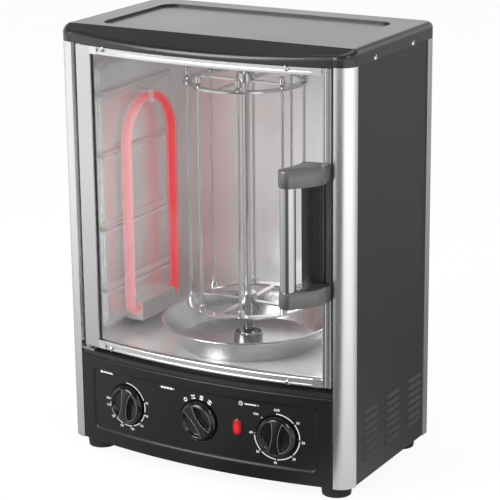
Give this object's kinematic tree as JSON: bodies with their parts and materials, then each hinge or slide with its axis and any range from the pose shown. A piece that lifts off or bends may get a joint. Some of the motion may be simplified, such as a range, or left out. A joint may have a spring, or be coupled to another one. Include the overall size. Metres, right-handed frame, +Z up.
{
  "type": "electric skewer grill",
  "caption": "Countertop upright grill oven with a bowed glass door, a motor-driven vertical skewer carousel, a side heater, a round drip dish and dials on a bowed fascia.",
  "frame": {"origin": "under the middle of the whole grill's bounding box, in the plane the feet stand on", "axes": "+Z up, -Y the front with the door and dials, +X the viewer's right when facing the front"},
  "size_m": [0.3492, 0.2574, 0.474],
  "materials": {
    "satin_aluminium": "satin anodised, bright along the edges",
    "dark_panel": "satin near-black stove enamel",
    "cover_black": "satin black enamel",
    "sill_black": "semi-gloss black enamel",
    "chamber_steel": "bright aluminised steel sheet",
    "zinc_steel": "zinc plated",
    "chrome": "polished",
    "screw_chrome": "polished screw heads",
    "door_aluminium": "satin anodised",
    "clear_glass": "clear tempered pane",
    "gloss_black": "gloss black, heat resistant",
    "lamp_red": "translucent red lens",
    "dark_plastic": "matt black moulding",
    "control_steel": "plated housing",
    "heater_sheath": null,
    "ceramic_white": "white glazed ceramic",
    "magnet_grey": "ferrite magnet in a black holder",
    "stainless": "bright stainless steel",
    "brass": "sintered bush",
    "dish_steel": "bright pressed steel",
    "rubber_black": "matt black"
  },
  "bodies": {
    "shell": {"front_post_left": "satin_aluminium", "front_post_right": "satin_aluminium", "rear_post_left": "satin_aluminium", "rear_post_right": "satin_aluminium", "side_panel_left": "dark_panel", "side_panel_right": "dark_panel", "back_panel": "dark_panel", "base_pan": "dark_panel", "feet": "rubber_black", "top_cover": "cover_black", "top_plate": "cover_black", "cover_rails": "zinc_steel", "control_panel": "dark_panel", "thermostat": "control_steel", "function_switch": "dark_plastic", "timer_clock": "dark_plastic", "pilot_lens": "lamp_red", "pilot_holder": "dark_plastic", "sill_strip": "sill_black", "chamber_floor": "chamber_steel", "chamber_ceiling": "chamber_steel", "chamber_wall_left": "chamber_steel", "chamber_wall_right": "chamber_steel", "chamber_back": "chamber_steel", "door_jambs": "sill_black", "heater_element": "heater_sheath", "heater_brackets": "zinc_steel", "heater_insulators": "ceramic_white", "hinge_upper": "zinc_steel", "hinge_lower": "zinc_steel", "door_magnet": "magnet_grey", "gear_motor": "control_steel", "motor_bracket": "zinc_steel", "floor_bush": "brass", "ceiling_bush": "brass", "cord_gland": "dark_plastic", "terminal_block": "dark_plastic", "shell_screws": "screw_chrome"},
    "door": {"door_glass": "clear_glass", "door_stile_left": "door_aluminium", "door_stile_right": "door_aluminium", "door_rail_top": "door_aluminium", "door_rail_bottom": "door_aluminium", "strike_plate": "zinc_steel", "handle_bracket": "gloss_black", "handle_bar": "chrome", "door_screws": "chrome"},
    "drive": {"drive_cup": "stainless"},
    "carousel": {"center_rod": "stainless", "cross_pin": "stainless", "skewer_holder_lower": "stainless", "skewer_holder_upper": "stainless", "skewers": "stainless"},
    "temperature_dial": {"temperature_knob": "gloss_black", "temperature_shaft": "control_steel"},
    "function_dial": {"function_knob": "gloss_black", "function_shaft": "control_steel"},
    "timer_dial": {"timer_knob": "gloss_black", "timer_shaft": "control_steel"},
    "dish": {"drip_dish": "dish_steel"}
  },
  "joints": [
    {"name": "door_swing", "type": "hinge", "parent": "shell", "child": "door", "pos_m": [-0.145, -0.07631, 0.124], "axis": [0, 0, -1], "range_deg": [0, 110]},
    {"name": "drive_spin", "type": "hinge", "parent": "shell", "child": "drive", "pos_m": [0, 0.01875, 0.124], "axis": [0, 0, 1], "continuous": true},
    {"name": "carousel_lift", "type": "slide", "parent": "drive", "child": "carousel", "axis": [0, 0, 1], "range_m": [0, 0.012]},
    {"name": "dish_lift", "type": "slide", "parent": "shell", "child": "dish", "axis": [0, 0, 1], "range_m": [0, 0.012]},
    {"name": "temperature_turn", "type": "hinge", "parent": "shell", "child": "temperature_dial", "pos_m": [-0.0905, -0.0895, 0.067], "axis": [0.1266, 0.992, 0], "range_deg": [0, 300]},
    {"name": "function_turn", "type": "hinge", "parent": "shell", "child": "function_dial", "pos_m": [0.0032, -0.09524, 0.0675], "axis": [-0.0045, 1, 0], "range_deg": [0, 75]},
    {"name": "timer_turn", "type": "hinge", "parent": "shell", "child": "timer_dial", "pos_m": [0.0945, -0.08898, 0.0647], "axis": [-0.1321, 0.9912, 0], "range_deg": [-35, 300]}
  ]
}
